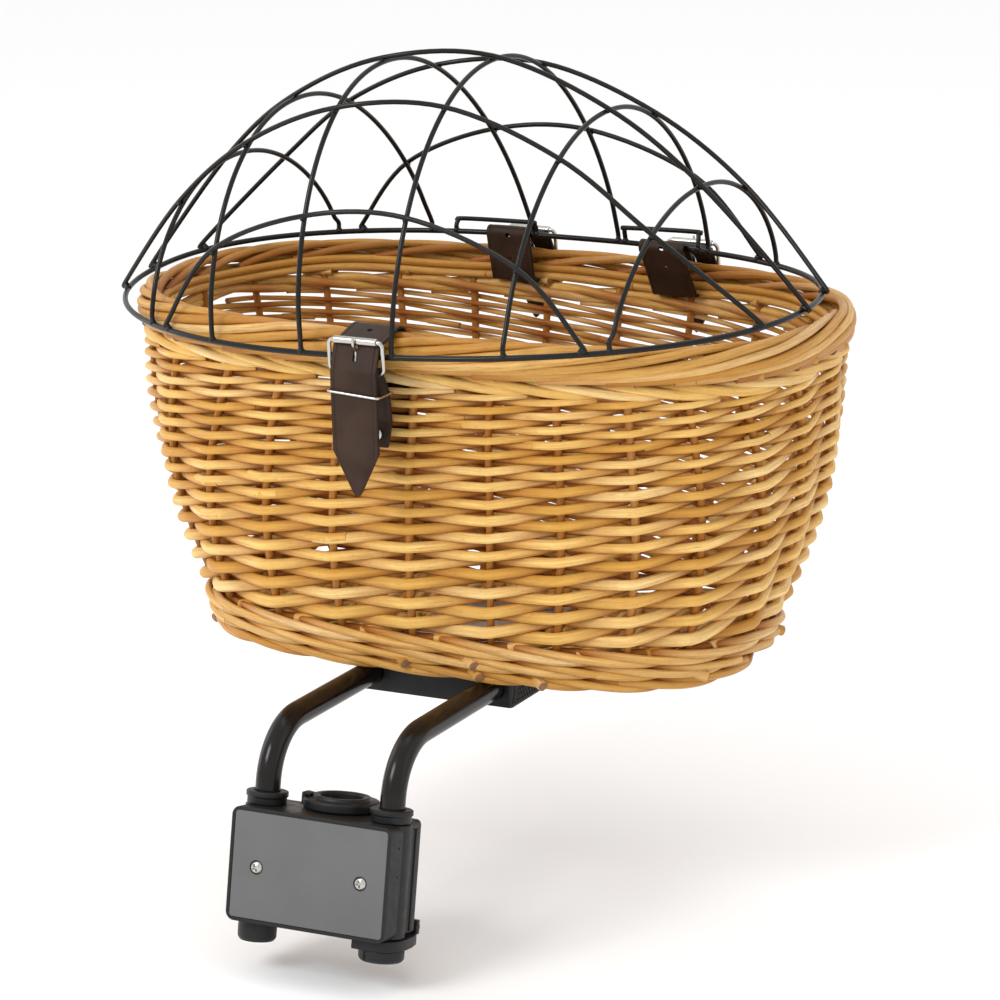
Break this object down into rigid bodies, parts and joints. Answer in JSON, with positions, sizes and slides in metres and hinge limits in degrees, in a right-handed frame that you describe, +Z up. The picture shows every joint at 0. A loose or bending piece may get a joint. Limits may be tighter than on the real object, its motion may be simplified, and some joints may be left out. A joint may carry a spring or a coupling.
{
  "type": "bicycle dog basket",
  "caption": "Oval woven willow basket with a domed wire lid, leather straps and a bracket that clamps to a bicycle's seat tube.",
  "frame": {"origin": "centre of the clamp's bore, on the seat tube's axis", "axes": "+Z up, +X along the basket's long side, +Y from the clamp back to the lid's hinge side; the bore leans 10 degrees, top towards +Y"},
  "size_m": [0.5746, 0.5228, 0.6341],
  "materials": {
    "willow": "smooth peeled willow, honey brown",
    "dome_wire": "black enamel",
    "leather": "dark brown, semi-matt",
    "nickel": "polished nickel",
    "steel": "zinc plated",
    "tube_paint": "gloss black",
    "black_plastic": "fine texture",
    "grey_plastic": "satin grey"
  },
  "bodies": {
    "clamp": {"clamp_housing": "black_plastic", "clamp_rear_jaw": "black_plastic", "clamp_bolt_upper_left": "steel", "clamp_bolt_lower_left": "steel", "clamp_bolt_upper_right": "steel", "clamp_bolt_lower_right": "steel", "clamp_cover": "grey_plastic", "cover_screw_left": "nickel", "cover_screw_right": "nickel", "seat_tube_bush": "black_plastic", "socket_collar_left": "black_plastic", "socket_collar_right": "black_plastic", "clamp_foot_left": "black_plastic", "lever_screw": "steel"},
    "release_lever": {"release_lever": "black_plastic"},
    "carrier": {"fork_tube_left": "tube_paint", "fork_tube_right": "tube_paint", "carrier_block": "black_plastic", "counter_plate": "steel", "carrier_bolt_front_left": "steel", "carrier_bolt_front_right": "steel", "carrier_bolt_rear_left": "steel", "carrier_bolt_rear_right": "steel", "carrier_nut_front_left": "steel", "carrier_nut_front_right": "steel", "carrier_nut_rear_left": "steel", "carrier_nut_rear_right": "steel", "basket_base": "willow", "basket_wall": "willow", "basket_border": "willow", "front_strap": "leather", "front_strap_chape": "leather", "front_strap_rivet": "nickel", "front_buckle_frame": "nickel", "strap_keeper": "nickel", "rear_strap_left": "leather", "rear_buckle_frame_left": "nickel", "rear_strap_right": "leather", "rear_buckle_frame_right": "nickel"},
    "lid": {"lid_ring": "dome_wire", "lid_rib_1": "dome_wire", "lid_rib_2": "dome_wire", "lid_rib_3": "dome_wire", "lid_rib_4": "dome_wire", "lid_rib_5": "dome_wire", "lid_rib_6": "dome_wire", "lid_arch_1": "dome_wire", "lid_arch_2": "dome_wire", "lid_arch_3": "dome_wire", "lid_arch_4": "dome_wire", "lid_arch_5": "dome_wire", "hinge_bail_left": "dome_wire", "hinge_bail_right": "dome_wire"},
    "front_prong": {"front_buckle_prong": "nickel"},
    "front_roller": {"front_buckle_roller": "nickel"},
    "rear_prong_left": {"rear_buckle_prong_left": "nickel"},
    "rear_roller_left": {"rear_buckle_roller_left": "nickel"},
    "rear_prong_right": {"rear_buckle_prong_right": "nickel"},
    "rear_roller_right": {"rear_buckle_roller_right": "nickel"}
  },
  "joints": [
    {"name": "carrier_lift", "type": "slide", "parent": "clamp", "child": "carrier", "axis": [0, 0.1736, 0.9848], "range_m": [0, 0.095]},
    {"name": "release_lever_turn", "type": "hinge", "parent": "clamp", "child": "release_lever", "pos_m": [0.0512, -0.02966, -0.04554], "axis": [0, -0.1736, -0.9848], "range_deg": [0, 25], "stiffness_Nm_per_rad": 0.3},
    {"name": "lid_hinge", "type": "hinge", "parent": "carrier", "child": "lid", "pos_m": [0.00135, 0.41026, 0.41097], "axis": [-0.9968, 0.0715, -0.0366], "range_deg": [0, 105], "deforming": ["rear_strap_left", "rear_strap_right", "front_strap"]},
    {"name": "front_prong_turn", "type": "hinge", "parent": "carrier", "child": "front_prong", "pos_m": [-0.011, 0.06, 0.3585], "axis": [1, 0, 0], "range_deg": [0, 75]},
    {"name": "front_roller_spin", "type": "hinge", "parent": "carrier", "child": "front_roller", "pos_m": [-0.011, 0.0575, 0.382], "axis": [1, 0, 0], "continuous": true},
    {"name": "rear_prong_left_turn", "type": "hinge", "parent": "carrier", "child": "rear_prong_left", "pos_m": [-0.065, 0.461, 0.371], "axis": [-1, 0, 0], "range_deg": [0, 75]},
    {"name": "rear_roller_left_spin", "type": "hinge", "parent": "carrier", "child": "rear_roller_left", "pos_m": [-0.065, 0.4555, 0.396], "axis": [1, 0, 0], "continuous": true},
    {"name": "rear_prong_right_turn", "type": "hinge", "parent": "carrier", "child": "rear_prong_right", "pos_m": [0.08, 0.461, 0.371], "axis": [-1, 0, 0], "range_deg": [0, 75]},
    {"name": "rear_roller_right_spin", "type": "hinge", "parent": "carrier", "child": "rear_roller_right", "pos_m": [0.08, 0.4555, 0.396], "axis": [1, 0, 0], "continuous": true}
  ]
}
